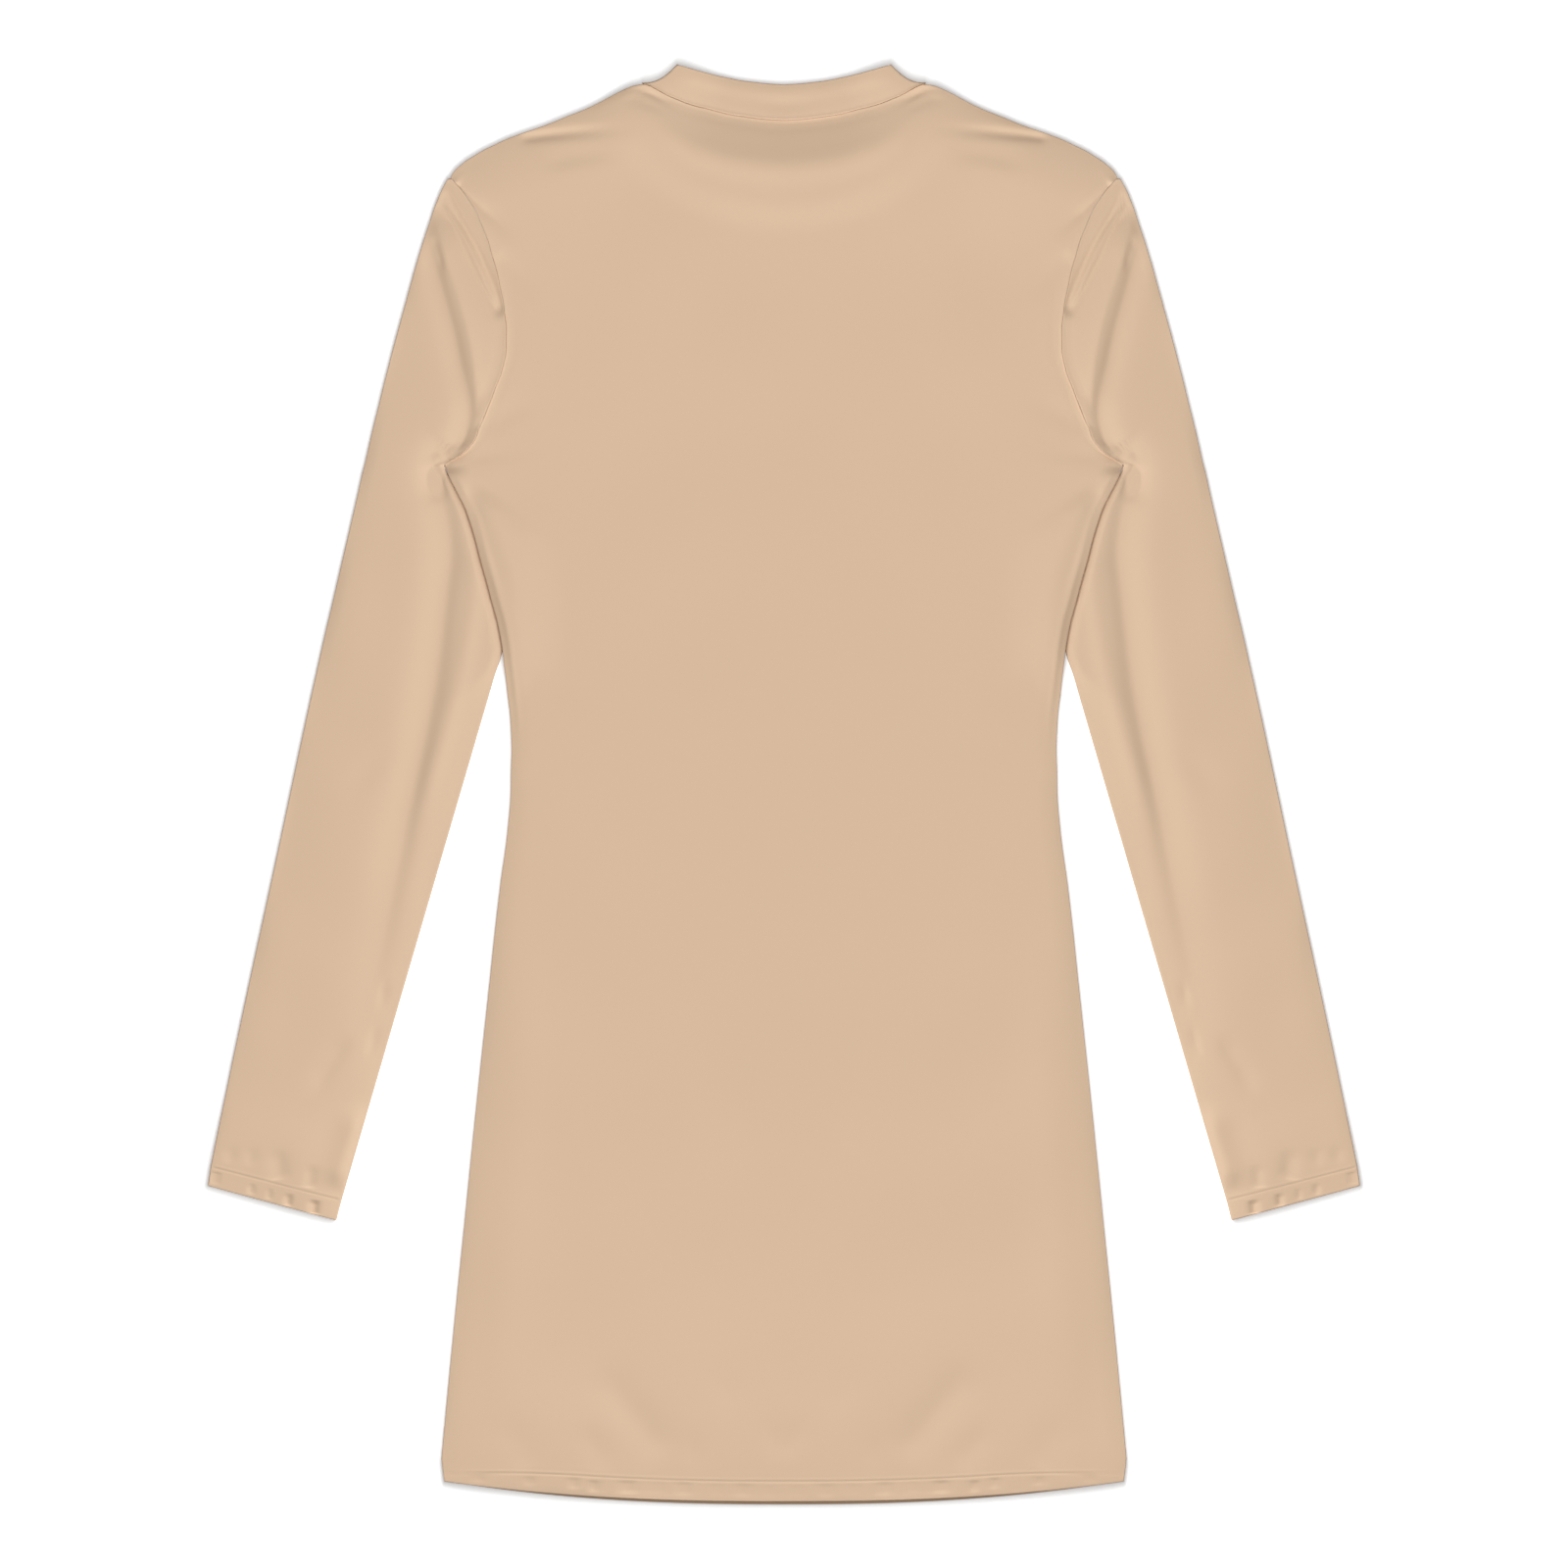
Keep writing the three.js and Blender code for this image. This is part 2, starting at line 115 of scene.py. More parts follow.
# Creases: a smooth path, how wide each one falls away on its inner and its outer side, how high it
# stands (a trough is negative), and the share of its length over which it fades in and out. A keen
# crease has a sharp line along its path.
SOFT, KEEN = False, True
BODY_CREASES = [
    ("shoulder", SOFT, [(160, 388.8), (140, 390.4), (112, 392.6), (84, 393.5)], 3, 3, -1.1, 0.1, 0.6),
    ("upper back", SOFT, [(150, 372), (120, 378), (92, 380)], 5, 8, -0.5, 0.3, 0.5),
    ("collar end", KEEN, [(89, 419), (79, 414.2), (66, 408.5)], 1.2, 2.2, -0.9, 0.1, 0.6),
    ("collar end, lower", SOFT, [(92, 414), (80, 408), (70, 404)], 2, 3, -0.5, 0.1, 0.7),
    ("armhole top", KEEN, [(197.5, 361.5), (185.3, 349.3), (174.6, 339.8), (160, 325)],
     2.4, 3.6, -1.3, 0.05, 0.5),
    ("armhole, upper", SOFT, [(174, 320), (160, 306), (148, 286)], 5, 7, -0.5, 0.2, 0.6),
    ("armhole, lower", SOFT, [(181, 212), (163, 224), (140, 230)], 6, 8, -0.35, 0.1, 0.6),
    ("underarm drag", SOFT, [(200, 191), (178, 198), (150, 200)], 4, 7, -0.2, 0.1, 0.6),
    ("side", SOFT, [(192, 184), (182, 155), (172, 128), (160, 100)], 6, 3.5, -1.1, 0.15, 0.4),
    ("side, bright fold", SOFT, [(186, 176), (176, 142), (163, 96), (155, 60)], 9, 6, 0.9, 0.2, 0.4),
    ("waist drag, upper", SOFT, [(160, 62), (138, 54), (112, 50)], 7, 9, -0.5, 0.2, 0.6),
    ("waist drag, lower", SOFT, [(161, 6), (136, 10), (104, 8)], 8, 9, -0.4, 0.2, 0.6),
    ("skirt, long", SOFT, [(158, -60), (160, -170), (168, -300), (176, -396)], 16, 13, 0.9, 0.3, 0.2),
    ("skirt, middle", SOFT, [(40, -120), (30, -230), (44, -340)], 18, 18, -0.5, 0.4, 0.4),
    ("back, middle", SOFT, [(2, -70), (3, -110), (0, -160)], 12, 12, 0.6, 0.4, 0.5),
    ("hem ripple, long", SOFT, [(112, -350), (104, -362), (84, -386), (70, -407)], 9, 10, -0.85, 0.4, 0.2),
    ("hem ripple, outer", SOFT, [(124, -386), (113, -399), (104, -410)], 6, 7, -0.5, 0.35, 0.2),
    ("hem ripple, middle", SOFT, [(39, -354), (34, -366), (29, -378)], 4, 4, -0.5, 0.3, 0.4),
    ("hem ripple, short", SOFT, [(57, -391), (54, -401), (51, -410)], 4, 5, -0.4, 0.3, 0.3),
    ("hem ripple, middle fan", SOFT, [(12, -383), (6, -393), (0, -405)], 4, 4, -0.5, 0.3, 0.2),
    ("hem ripple, corner", SOFT, [(170, -382), (158, -397), (150, -410)], 8, 9, -0.4, 0.3, 0.2),
    ("hem band, 1", SOFT, [(126.3, -416.5), (126, -424)], 2.2, 2.6, -0.5, 0.3, 0.2),
    ("hem band, 2", SOFT, [(114.5, -418), (114.8, -426)], 2.6, 2, -0.67, 0.3, 0.2),
    ("hem band, 3", SOFT, [(94.4, -418), (94, -427)], 3.4, 3, -0.71, 0.3, 0.2),
    ("hem band, 4", SOFT, [(60.2, -419), (59.6, -428)], 2.2, 2.2, -0.67, 0.3, 0.2),
    ("hem band, 5", SOFT, [(24.2, -420), (25, -429)], 2.6, 3.4, -0.46, 0.3, 0.2),
    ("hem band, 6", SOFT, [(154, -416), (153, -422)], 3, 2.4, -0.38, 0.3, 0.2),
    ("hem band, 7", SOFT, [(184, -415), (182.6, -420)], 2.6, 3, -0.34, 0.3, 0.2),
    ("hem band, 8", SOFT, [(77, -418.5), (77.6, -427)], 2, 2.4, -0.29, 0.3, 0.2),
    ("hem band, 9", SOFT, [(41, -420), (40.4, -428)], 2.4, 2, -0.29, 0.3, 0.2),
    ("hem band, 10", SOFT, [(9, -421), (8, -429)], 2, 2, -0.25, 0.3, 0.2),
]

SLEEVE_CREASES = [
    ("cap, soft", SOFT, [(206, 356), (186, 324), (174, 297), (168.6, 281)], 2.2, 2.6, -1.5, 0.05, 0.15),
    ("cap, between", SOFT, [(207, 352), (190.6, 326), (178, 299), (169.5, 281)], 1.8, 1.8, 0.5, 0.1, 0.2),
    ("cap, fine", KEEN, [(209.4, 350), (197.4, 331.6), (187.4, 311.5), (179, 295), (169.6, 279)],
     1.5, 2, -1.3, 0.05, 0.1),
    ("cap ridge", KEEN,
     [(212, 346), (206.9, 329.2), (202, 311.5), (196, 293.8), (190, 272.6), (186, 250), (185, 229),
      (187, 214)],
     10, 8, 2.4, 0.24, 0.3),
    ("channel beside the ridge", SOFT,
     [(218, 342), (212.6, 320), (206.4, 298), (199.6, 274), (194.4, 250), (189.5, 228), (192, 210),
      (199.6, 197.4)],
     4, 9, -1.9, 0.25, 0.06),
    ("cap, second line", KEEN, [(211.9, 330), (207.5, 319), (204, 306)], 1.2, 1.8, -0.8, 0.3, 0.4),
    ("armhole bump", SOFT, [(179, 234), (180.6, 226), (183.5, 217)], 3, 3, 0.5, 0.45, 0.4),
    ("armhole pucker", SOFT, [(177.5, 219.5), (182, 216), (188, 214)], 2, 2, -0.5, 0.3, 0.3),
    ("underarm crumple", KEEN, [(188, 206), (194, 201.5), (201, 202)], 1.4, 1.6, 0.6, 0.3, 0.4),
    ("underarm hook", KEEN, [(211, 200), (207.5, 195), (206, 189), (208, 183)], 1.4, 1.8, 0.8, 0.3, 0.3),
    ("upper arm fold", SOFT, [(186, 150), (186, 118), (192.4, 76), (201, 40), (213, 0), (225, -40)],
     6, 6, 0.9, 0.15, 0.3),
    ("underarm hollow and upper arm trough", SOFT,
     [(199, 199), (207, 190), (208, 178), (204.5, 165), (202, 150), (201.4, 136), (203.4, 118), (210.7, 59),
      (222.7, 0), (234.6, -59), (247, -118), (262, -170)], 6.5, 13, -2.4, 0.03, 0.3),
    ("underarm hollow, deepest", SOFT, [(207, 193), (209.5, 182), (207, 168)], 6, 7, -1.8, 0.4, 0.4),
    ("forearm, diagonal", SOFT, [(260, -150), (273, -170), (286.4, -188)], 5, 7, -0.9, 0.3, 0.4),
    ("forearm, inner tick, 1", SOFT, [(244, -145), (250, -164)], 3, 3, -0.8, 0.4, 0.4),
    ("forearm, inner tick, 2", SOFT, [(239.7, -117), (242, -136)], 3, 3, -0.7, 0.4, 0.4),
    ("outer arm", SOFT, [(240, 260), (246, 200), (258, 130), (270, 60), (280, 0)], 16, 14, 0.5, 0.3, 0.5),
    ("elbow", SOFT, [(232, 30), (250, 8), (268, -8)], 8, 9, -0.5, 0.4, 0.5),
    ("forearm, outer", SOFT, [(300, -60), (312, -120), (326, -180)], 14, 12, 0.4, 0.4, 0.4),
    ("cuff, inner edge", SOFT, [(250, -190), (257.6, -215), (266.6, -246)], 3, 11, 2.6, 0.4, 0.2),
    ("cuff, above the stitching, 1", SOFT, [(305, -218), (303.4, -228), (302, -238)], 5, 6, -0.7, 0.4, 0.1),
    ("cuff, above the stitching, 2", SOFT, [(283.5, -229), (284.4, -236), (285, -243)],
     3.4, 3.8, -0.6, 0.3, 0.1),
    ("cuff, above the stitching, 3", SOFT, [(332.8, -217), (332.4, -228)], 4, 4, -0.35, 0.4, 0.2),
    ("cuff, above the stitching, 4", SOFT, [(320.4, -218), (320, -229)], 4, 4, -0.35, 0.4, 0.2),
    ("cuff band, 1", SOFT, [(342, -233), (343, -240.5)], 2.4, 2.4, -0.9, 0.2, 0.1),
    ("cuff band, 2", SOFT, [(320, -240), (320.6, -247)], 2.4, 2, -0.5, 0.3, 0.2),
    ("cuff band, 3", SOFT, [(297.6, -246), (298.4, -254)], 2.4, 2.4, -0.9, 0.3, 0.2),
    ("cuff band, 4", SOFT, [(282, -250), (283, -258.5)], 2.8, 3, -1.3, 0.2, 0.1),
    ("cuff band, 5", SOFT, [(309, -243), (309.8, -250)], 2, 2, -0.4, 0.3, 0.2),
]


def read(rows, known, wanted, at):
    """The wanted column of a table where its known column is `at`, on a smooth curve through the rows."""
    x, y = rows[known], rows[wanted]
    at = np.clip(np.asarray(at, float), x[0], x[-1])
    i = np.clip(np.searchsorted(x, at, side="right") - 1, 0, len(x) - 2)
    before, after = np.maximum(np.arange(len(x)) - 1, 0), np.minimum(np.arange(len(x)) + 1, len(x) - 1)
    slope = (y[after] - y[before]) / (x[after] - x[before])
    span = x[i + 1] - x[i]
    t = (at - x[i]) / span
    start = y[i] + slope[i] * span * t
    end = y[i + 1] - slope[i + 1] * span * (1 - t)
    return start + (end - start) * t * t * (3 - 2 * t)


def smooth(start, end, value):
    """0 up to start and 1 from end, with a soft change between."""
    t = np.clip((value - start) / (end - start), 0, 1)
    return t * t * (3 - 2 * t)


def quarter(distance, radius):
    """0 at an edge and 1 from the radius inwards, as a quarter circle."""
    left = np.clip(1 - distance / radius, 0, 1)
    return np.sqrt(1 - left * left)


def rise(distance, width):
    """0 at an edge and 1 from the width inwards, steepest at the edge."""
    left = np.clip(1 - distance / width, 0, 1)
    return 1 - left * left


def half_width(y):
    """Half the body's width at a height, up to the shoulder tip."""
    return np.where(y < UNDERARM_Y, read(SIDE, "y", "half", y), read(ARMHOLE, "y", "half", y))


def hem_y(x, drop):
    """The height of a hem, which bows down to the middle."""
    return BACK_HEM_Y - drop + (HEM_CORNER_Y - BACK_HEM_Y + drop) * (np.abs(x) / HEM_CORNER_X) ** HEM_BOW


def soft_path(points, steps=8):
    """A smooth polyline through a crease's points."""
    if len(points) == 2:
        return np.linspace(points[0], points[1], steps + 1)
    ends = [2 * np.array(points[0]) - points[1], *points, 2 * np.array(points[-1]) - points[-2]]
    p = np.array(ends, float)
    t = np.linspace(0, 1, steps, endpoint=False)[:, None]
    made = [
        0.5 * (2 * p[i] + (p[i + 1] - p[i - 1]) * t
               + (2 * p[i - 1] - 5 * p[i] + 4 * p[i + 1] - p[i + 2]) * t**2
               + (3 * p[i] - p[i - 1] - 3 * p[i + 1] + p[i + 2]) * t**3)
        for i in range(1, len(p) - 2)
    ]
    return np.vstack([*made, p[-2:-1]])


def crease_height(creases, x, y):
    """The sum of the creases' heights at points of the right half."""
    total = np.zeros(x.shape)
    for _, keen, points, inner, outer, height, fade_in, fade_out in creases:
        path = soft_path(points)
        reach = 4 * max(inner, outer)
        near = (x > path[:, 0].min() - reach) & (x < path[:, 0].max() + reach)
        near &= (y > path[:, 1].min() - reach) & (y < path[:, 1].max() + reach)
        if not near.any():
            continue
        px, py = x[near], y[near]
        best, side, share = np.full(px.shape, np.inf), np.zeros(px.shape), np.zeros(px.shape)
        for k, (a, b) in enumerate(zip(path[:-1], path[1:])):
            run = b - a
            t = np.clip(((px - a[0]) * run[0] + (py - a[1]) * run[1]) / (run @ run), 0, 1)
            dx, dy = px - a[0] - t * run[0], py - a[1] - t * run[1]
            distance = np.hypot(dx, dy)
            closer = distance < best
            best = np.where(closer, distance, best)
            side = np.where(closer, dx * abs(run[1]) - dy * run[0] * np.sign(run[1] or 1), side)
            share = np.where(closer, (k + t) / (len(path) - 1), share)
        width = np.where(side > 0, outer, inner)
        fade = smooth(0, fade_in, share) * (1 - smooth(1 - fade_out, 1, share))
        across = np.hypot(best, 0.7) - 0.7
        shape = np.exp(-across / width) if keen else np.exp(-((best / width) ** 2))
        total[near] += height * fade * shape
    return total


def unevenness(x, y, seed, least, most, size):
    """Soft rise and fall of relaxed cloth, as a few crossed waves."""
    chance = np.random.RandomState(seed)
    total = np.zeros(x.shape)
    for _ in range(14):
        angle, phase = chance.uniform(0, math.pi), chance.uniform(0, 2 * math.pi)
        length = chance.uniform(least, most)
        total += np.sin(2 * math.pi * (x * math.cos(angle) + y * math.sin(angle)) / length + phase)
    return size * total / 14**0.5


def ride_height(x, y):
    """How high the sleeve below lifts the body's side."""
    half = half_width(y)
    along = smooth(-RIDE["top"], -RIDE["full"], -y) * smooth(RIDE["bottom"], RIDE["low"], y)
    covered = np.maximum(half - read(SLEEVE, "y", "inner", y), 0) + RIDE["margin"]
    spread_in = RIDE["spread"] * (0.4 + 0.6 * smooth(-RIDE["full"], -140, -y))
    return RIDE["height"] * along * (1 - smooth(covered, covered + spread_in, half - np.abs(x)))


# Thicknesses and distances
CLOTH = 1.0             # one layer of jersey
COLLAR_THICKNESS = 2.0  # the collar's doubled layer
COLLAR_HEIGHT = 21.5
TURNED = 0.45           # what a turned hem adds to a layer
GAP = 0.3               # between pieces that lie on each other
SEAM = 0.12             # from a sewn edge to the seam line
CUFF_STITCHES = 12.0    # from a cuff's edge up to its stitching
FOLD_AIR = 0.4          # between the layers at a sleeve's fold
FOLD_ROUND = 0.22       # how far a fold reaches out, as a share of its height
COVER = 0.6             # from the body's side to where the sleeve may rise
PAST_SEAM = 15.0        # the sleeve's air goes on this far past the armhole
SLEEVE_LEAN = -16       # degrees from upright to the sleeve's knit
CLEARANCE = -0.15       # the lowest that a trough may go
FAR = 99.0              # a distance that stands for no edge


class ClothSettings(bpy.types.PropertyGroup):
    jersey: bpy.props.FloatVectorProperty(
        name="Jersey", description="Colour of the body and sleeves", subtype="COLOR", size=3,
        min=0, max=1, default=(0.694, 0.497, 0.342))
    collar: bpy.props.FloatVectorProperty(
        name="Collar", description="Colour of the collar", subtype="COLOR", size=3,
        min=0, max=1, default=(0.68, 0.485, 0.332))
    variation: bpy.props.FloatProperty(
        name="Variation", description="How far the colour changes over the cloth",
        default=0.16, min=0, max=0.3)
    wale: bpy.props.FloatProperty(
        name="Wale", description="Width of one knitted wale", unit="LENGTH", default=0.00075, min=0.0003)
    roughness: bpy.props.FloatProperty(
        name="Roughness", description="Roughness of the yarn", default=0.9, min=0, max=1)


class FoldSettings(bpy.types.PropertyGroup):
    loft: bpy.props.FloatProperty(
        name="Loft", description="Air kept between the layers", unit="LENGTH", default=0.0024, min=0)
    body_creases: bpy.props.FloatProperty(
        name="Body creases", description="Strength of the body's creases", default=1.0, min=0, max=3)
    sleeve_creases: bpy.props.FloatProperty(
        name="Sleeve creases", description="Strength of the sleeves' creases", default=1.0, min=0, max=3)
    unevenness: bpy.props.FloatProperty(
        name="Unevenness", description="Soft rise and fall of the cloth", unit="LENGTH",
        default=0.00022, min=0)


class StageSettings(bpy.types.PropertyGroup):
    view_side: bpy.props.FloatProperty(
        name="View", description="Side of the square that the camera sees", unit="LENGTH",
        default=0.944, min=0.1)
    camera_height: bpy.props.FloatProperty(
        name="Camera height", description="Camera above the floor", unit="LENGTH", default=2.6, min=0.5)
    lamp_height: bpy.props.FloatProperty(
        name="Lamp height", description="Lamps above the floor", unit="LENGTH", default=0.37, min=0.2)
    lamp_spread: bpy.props.FloatProperty(
        name="Lamp spread", description="From one lamp to the next", unit="LENGTH", default=0.2, min=0)
    lamp_power: bpy.props.FloatProperty(
        name="Lamp power", description="Strength of the lamp", default=83.0, min=0)
    fill: bpy.props.FloatProperty(
        name="Fill", description="Strength of the light from all round", default=0.26, min=0)


def spread(*stretches):
    """Places from one stretch to the next, each (end, step), starting at the first stretch's start."""
    places = [np.array([stretches[0][0]], float)]
    for (start, _), (end, step) in zip(stretches[:-1], stretches[1:]):
        count = max(int(round(abs(end - start) / step)), 1)
        places.append(np.linspace(start, end, count + 1)[1:])
    return np.concatenate(places)


def edge_steps():
    """Distances in from a finished edge, close together where it rounds over."""
    return np.array([
        0, 0.06, 0.18, 0.36, 0.6, 0.9, 1.3, 1.8, 2.5, 3.4, 4.4, 5.5, 6.8, 8.2, 9.8, 11.6, 13.6, 16])


def hem_steps():
    """The same, and close together again at the hem's stitching."""
    steps = edge_steps()
    return np.concatenate([steps[steps < 9], np.arange(9, 15, 0.42), [15.4, 16.4]])


def cloth_material(name, colour):
    """A knitted cloth: soft changes of colour, faint upright streaks and a fine wale in its relief."""
    cloth = bpy.context.scene.dress_cloth
    material = bpy.data.materials.new(name)
    material.use_nodes = True
    nodes, links = material.node_tree.nodes, material.node_tree.links
    shader = nodes["Principled BSDF"]
    shader.inputs["Roughness"].default_value = cloth.roughness
    shader.inputs["Specular IOR Level"].default_value = 0.2
    shader.inputs["Sheen Weight"].default_value = 0.12
    shader.inputs["Sheen Roughness"].default_value = 0.5

    place = nodes.new("ShaderNodeUVMap")
    place.uv_map = "cloth"

    def noise(scale, detail):
        stretch = nodes.new("ShaderNodeVectorMath")
        stretch.operation = "MULTIPLY"
        stretch.inputs[1].default_value = scale
        links.new(place.outputs["UV"], stretch.inputs[0])
        made = nodes.new("ShaderNodeTexNoise")
        made.inputs["Scale"].default_value = 1
        made.inputs["Detail"].default_value = detail
        links.new(stretch.outputs[0], made.inputs["Vector"])
        return made.outputs["Fac"]

    def math_node(operation, first, second):
        made = nodes.new("ShaderNodeMath")
        made.operation = operation
        for socket, value in zip(made.inputs, (first, second)):
            if isinstance(value, (int, float)):
                socket.default_value = value
            else:
                links.new(value, socket)
        return made.outputs[0]

    mottle = noise((28, 22, 1), 3)
    streaks = noise((420, 18, 1), 2)
    grain = noise((1500, 1100, 1), 2)
    shade = math_node("ADD", math_node("MULTIPLY", mottle, 0.25), math_node("MULTIPLY", streaks, 0.5))
    shade = math_node("ADD", shade, math_node("MULTIPLY", grain, 0.25))
    ends = nodes.new("ShaderNodeMapRange")
    ends.inputs["From Min"].default_value = 0.38
    ends.inputs["From Max"].default_value = 0.62
    ends.inputs["To Min"].default_value = 1 - 2 * cloth.variation
    ends.inputs["To Max"].default_value = 1 + 2 * cloth.variation
    links.new(shade, ends.inputs["Value"])
    tint = nodes.new("ShaderNodeVectorMath")
    tint.operation = "SCALE"
    tint.inputs[0].default_value = colour
    links.new(ends.outputs[0], tint.inputs["Scale"])
    links.new(tint.outputs[0], shader.inputs["Base Color"])

    knit = nodes.new("ShaderNodeTexWave")
    knit.wave_type = "BANDS"
    knit.bands_direction = "X"
    knit.inputs["Scale"].default_value = math.pi / (10 * cloth.wale)
    knit.inputs["Distortion"].default_value = 1.0
    knit.inputs["Detail"].default_value = 1
    knit.inputs["Detail Scale"].default_value = 1.5
    links.new(place.outputs["UV"], knit.inputs["Vector"])
    wales = math_node("MULTIPLY", knit.outputs["Fac"], 0.5)
    relief = math_node("ADD", wales, math_node("MULTIPLY", grain, 0.7))
    relief = math_node("ADD", relief, math_node("MULTIPLY", streaks, 0.5))
    bump = nodes.new("ShaderNodeBump")
    bump.inputs["Strength"].default_value = 0.35
    bump.inputs["Distance"].default_value = 0.15 * MM
    links.new(relief, bump.inputs["Height"])
    links.new(bump.outputs["Normal"], shader.inputs["Normal"])
    return material


def shell_object(name, outer, inner, quads, cloth_uv, material):
    """A closed thin shell: two matching skins of quads in millimetres, joined along every free edge."""
    count = len(outer)
    a, b = quads.reshape(-1), np.roll(quads, -1, axis=1).reshape(-1)
    free = ~np.isin(a * count + b, b * count + a)
    rim = np.column_stack([b[free], a[free], a[free] + count, b[free] + count])
    faces = np.vstack([quads, quads[:, ::-1] + count, rim])
    points = np.vstack([outer, inner]) * MM
    p = points[faces]
    volume = sum((np.cross(p[:, i], p[:, i + 1]) * p[:, 0]).sum() for i in (1, 2))
    if volume < 0:
        faces = faces[:, ::-1]
    mesh = bpy.data.meshes.new(name)
    mesh.from_pydata(points.tolist(), [], faces.tolist())
    layer = mesh.uv_layers.new(name="cloth")
    uv = np.vstack([cloth_uv, cloth_uv])[faces.reshape(-1)] * MM
    layer.data.foreach_set("uv", uv.astype(np.float32).reshape(-1))
    mesh.polygons.foreach_set("use_smooth", np.ones(len(faces), bool))
    mesh.materials.append(material)
    mesh.update()
    made = bpy.data.objects.new(name, mesh)
    bpy.context.scene.collection.objects.link(made)
    return made


def grid_quads(rows, columns):
    """The quads of a grid of points."""
    at = (np.arange(rows - 1)[:, None] * columns + np.arange(columns - 1)).reshape(-1)
    return np.column_stack([at, at + 1, at + 1 + columns, at + columns])


def finish_piece(made, node):
    """Hides the model's part that the piece replaces and attaches the piece to the root."""
    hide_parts(node)
    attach(made, "root")


def neck_seam(x, column):
    """A column of the neck table, on either side of the middle."""
    return read(NECK, "x", column, np.clip(np.abs(x), 0, NECK_POINT_X))


def top_edge(x, column):
    """The panel's upper edge: its neck seam, then the shoulder line."""
    x = np.abs(x)
    steepness = neck_seam(x + 0.5, column) - neck_seam(np.maximum(x - 0.5, 0), column)
    neck = neck_seam(x, column) - SEAM * np.hypot(1, steepness)
    return np.where(x <= NECK_POINT_X, neck, read(SHOULDER, "x", "y", x))


def turned_hem(above):
    """The extra thickness of a turned hem, at a distance above its stitching."""
    return TURNED * (1 - 0.12 * smooth(-0.5, 0.8, above) - 0.88 * smooth(-1, 70, above))


def panel_plan(drop, neck_column, inner_step, row_step):
    """x, y and the distances in from the nearest free edge and the nearest sewn one, over a panel."""
    side = TIP_HALF - edge_steps()
    inner = spread((side[-1], 0), (110, inner_step * 0.7), (0, inner_step * 1.2))[1:]
    half = np.concatenate([side, inner])[::-1]
    tops = np.concatenate([-half[:0:-1], half])
    hem = HEM_CORNER_Y + hem_steps()
    top = TIP_Y - edge_steps()[::-1]
    heights = np.concatenate([
        hem,
        spread((hem[-1], 0), (-60, row_step * 1.5), (170, row_step), (188, row_step * 0.5), (UNDERARM_Y, 0.9),
               (200, 1.1), (top[0], row_step * 0.7))[1:-1],
        top,
    ])
    height, column = np.meshgrid(heights, tops, indexing="ij")
    up = (height - HEM_CORNER_Y) / (TIP_Y - HEM_CORNER_Y)
    follow = np.abs(column / TIP_HALF) ** 2
    x = column * (1 + (half_width(height) / TIP_HALF - 1) * follow)
    hem_rise = hem_y(column * HEM_CORNER_X / TIP_HALF, drop) - HEM_CORNER_Y
    y = height + (1 - up) * hem_rise + up**4 * (top_edge(column, neck_column) - TIP_Y)
    from_side = np.maximum(half_width(np.minimum(height, TIP_Y)) - np.abs(x), 0)
    from_top = np.maximum(top_edge(x, neck_column) - y, 0)
    from_hem = np.maximum(y - hem_y(x, drop), 0)
    at_armhole = height > UNDERARM_Y
    at_neck = np.abs(x) < NECK_POINT_X
    from_seam = np.minimum(np.where(at_armhole, from_side, FAR), np.where(at_neck, from_top, FAR))
    from_free = np.minimum(np.where(at_armhole, FAR, from_side), np.where(at_neck, FAR, from_top))
    return x, y, np.minimum(from_free, from_hem), from_seam


def edge_shape(from_free, from_seam, half):
    """The share of a layer's thickness that is left near a rounded free edge and near a sewn one."""
    sewn = 1 - 0.3 * (1 - quarter(from_seam, 0.3))
    return np.maximum(np.minimum(quarter(from_free, half), sewn), 0.06)


def rounded_skins(x, y, floor, thickness, from_free, from_seam):
    """The upper and lower skins of a layer, with its edges rounded over."""
    half = thickness / 2
    shape = edge_shape(from_free, from_seam, half)
    middle = floor + half
    upper = np.stack([x, y, middle + half * shape], -1).reshape(-1, 3)
    lower = np.stack([x, y, middle - half * shape], -1).reshape(-1, 3)
    return upper, lower


def front_panel():
    """The front, which lies flat on the floor but for its sides."""
    x, y, from_free, from_seam = panel_plan(FRONT_HEM_DROP, "front_y", 6, 5)
    thickness = CLOTH + turned_hem(y - hem_y(x, FRONT_HEM_DROP) - stitch_depth(x))
    upper, lower = rounded_skins(x, y, ride_height(x, y), thickness, from_free, from_seam)
    uv = np.stack([x, y], -1).reshape(-1, 2)
    made = shell_object("front_panel", upper, lower, grid_quads(*x.shape), uv, bpy.data.materials["jersey"])
    finish_piece(made, "front_panel")


def stitch_depth(x):
    """How far the hem's stitching is above its edge; it runs flatter than the edge does at the corners."""
    return 12.2 - 7.7 * (np.maximum(np.abs(x) - 120, 0) / 85) ** 2


def stitch_relief(above):
    """The fine ridge above a line of stitching and the groove below it."""
    return 0.08 * np.exp(-(((above - 1.3) / 0.8) ** 2)) - 0.14 * np.exp(-((above / 0.6) ** 2))


def seam_relief(distance):
    """Both pieces of a seam rise to it over the seam allowance's edge."""
    return 0.34 * np.exp(-((distance / 1.4) ** 2)) - 0.1 * np.exp(-(((distance - 5.5) / 2.4) ** 2))


def past_collar(x, y):
    """How far a point is past the front collar's free edge, towards the back of the neck."""
    return y - neck_seam(x, "front_edge_y")


